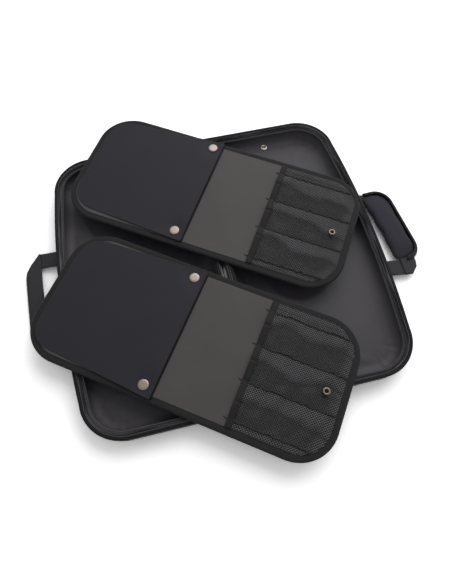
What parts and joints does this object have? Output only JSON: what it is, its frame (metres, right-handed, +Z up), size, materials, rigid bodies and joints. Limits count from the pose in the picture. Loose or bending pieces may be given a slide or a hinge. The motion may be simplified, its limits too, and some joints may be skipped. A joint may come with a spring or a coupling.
{
  "type": "hard knife case",
  "caption": "Hard zip case for kitchen knives, open flat: two shallow trays joined by a fabric spine, each with a webbing handle, and removable knife boards lying across them.",
  "frame": {"origin": "centre of the flat underside of the left tray, the half that stays down", "axes": "+X across the open case from the left tray to the right one, +Y along the spine towards the far board, +Z up"},
  "size_m": [0.6012, 0.5948, 0.0409],
  "materials": {
    "shell": "moulded shell faced with tight black fabric",
    "lining": "smooth grey-violet nylon with a little sheen",
    "piping": "black corded piping",
    "zip_tape": "woven zip tape",
    "zip_coil": "nylon coil",
    "webbing": "nylon webbing with a fine diagonal rib",
    "grip_pad": "smooth cloth over foam",
    "binding": "matt woven binding tape",
    "board": "stiff black board",
    "face_sheet": "warm grey flexible sheet with a faint grain",
    "flap": "coated black fabric",
    "net": "black knitted mesh",
    "nickel": "warm nickel",
    "gunmetal": "dark metal"
  },
  "bodies": {
    "base": {"left_shell": "shell", "left_lining": "lining", "left_piping": "piping", "left_zip_tape": "zip_tape", "left_zip_coil": "zip_coil", "left_lining_stud": "nickel", "left_handle_patch_front": "webbing", "left_handle_patch_rear": "webbing", "spine_web": "piping", "spine_cord": "piping"},
    "cover": {"right_shell": "shell", "right_lining": "lining", "right_piping": "piping", "right_zip_tape": "zip_tape", "right_zip_coil": "zip_coil", "right_lining_stud": "nickel", "right_handle_patch_front": "webbing", "right_handle_patch_rear": "webbing"},
    "left_handle": {"left_handle_webbing": "webbing"},
    "right_handle": {"right_handle_webbing": "webbing", "right_grip_pad": "grip_pad", "right_grip_binding": "binding"},
    "front_slider": {"front_zip_slider": "gunmetal"},
    "front_pull": {"front_zip_pull": "gunmetal"},
    "rear_slider": {"rear_zip_slider": "gunmetal"},
    "rear_pull": {"rear_zip_pull": "gunmetal"},
    "far_board": {"far_board_core": "board", "far_board_binding": "binding", "far_board_face_sheet": "face_sheet", "far_board_pocket_backing": "board", "far_board_pocket_edge": "binding", "far_board_pocket_net": "net", "far_board_pocket_seam_1": "net", "far_board_pocket_seam_2": "net", "far_board_pocket_seam_3": "net", "far_board_pocket_seam_4": "net", "far_board_mouth_tape": "binding", "far_board_ring_socket": "nickel", "far_board_stud_1": "nickel", "far_board_stud_2": "nickel"},
    "far_flap": {"far_board_flap": "flap", "far_board_flap_cap_1": "nickel", "far_board_flap_cap_2": "nickel"},
    "near_board": {"near_board_core": "board", "near_board_binding": "binding", "near_board_face_sheet": "face_sheet", "near_board_pocket_backing": "board", "near_board_pocket_edge": "binding", "near_board_pocket_net": "net", "near_board_pocket_seam_1": "net", "near_board_pocket_seam_2": "net", "near_board_pocket_seam_3": "net", "near_board_pocket_seam_4": "net", "near_board_mouth_tape": "binding", "near_board_ring_socket": "nickel", "near_board_stud_1": "nickel", "near_board_stud_2": "nickel"},
    "near_flap": {"near_board_flap": "flap", "near_board_flap_cap_1": "nickel", "near_board_flap_cap_2": "nickel"}
  },
  "joints": [
    {"name": "cover_fold", "type": "hinge", "parent": "base", "child": "cover", "pos_m": [0.1235, 0, 0.0283], "axis": [0, -1, 0], "range_deg": [0, 180]},
    {"name": "far_board_turn", "type": "hinge", "parent": "base", "child": "far_board", "pos_m": [-0.2075, 0, 0.02065], "axis": [0, -1, 0], "range_deg": [0, 180]},
    {"name": "near_board_turn", "type": "hinge", "parent": "base", "child": "near_board", "pos_m": [-0.2075, 0, 0.02065], "axis": [0, -1, 0], "range_deg": [0, 180]},
    {"name": "far_flap_open", "type": "hinge", "parent": "far_board", "child": "far_flap", "pos_m": [-0.03803, 0.21877, 0.0357], "axis": [0.549, 0.8358, 0], "range_deg": [-175, 0]},
    {"name": "near_flap_open", "type": "hinge", "parent": "near_board", "child": "near_flap", "pos_m": [-0.11348, 0.00538, 0.0357], "axis": [0.5807, 0.8141, 0], "range_deg": [-175, 0]},
    {"name": "left_handle_lift", "type": "hinge", "parent": "base", "child": "left_handle", "pos_m": [-0.11708, 0, 0.012], "axis": [0, 1, 0], "range_deg": [0, 28]},
    {"name": "right_handle_lift", "type": "hinge", "parent": "cover", "child": "right_handle", "pos_m": [0.36408, 0, 0.012], "axis": [0, 1, 0], "range_deg": [-76, 0]},
    {"name": "front_slider_travel", "type": "slide", "parent": "base", "child": "front_slider", "axis": [-1, 0, 0], "range_m": [0, 0.14]},
    {"name": "rear_slider_travel", "type": "slide", "parent": "base", "child": "rear_slider", "axis": [-1, 0, 0], "range_m": [0, 0.14]},
    {"name": "front_pull_swing", "type": "hinge", "parent": "front_slider", "child": "front_pull", "pos_m": [0.0975, -0.2342, 0.02425], "axis": [-1, 0, 0], "range_deg": [0, 90]},
    {"name": "rear_pull_swing", "type": "hinge", "parent": "rear_slider", "child": "rear_pull", "pos_m": [0.0975, 0.2342, 0.02425], "axis": [1, 0, 0], "range_deg": [0, 90]}
  ],
  "couplings": [
    {"joint": "far_board_turn", "follows": "cover_fold", "ratio": 1},
    {"joint": "near_board_turn", "follows": "cover_fold", "ratio": 1}
  ]
}
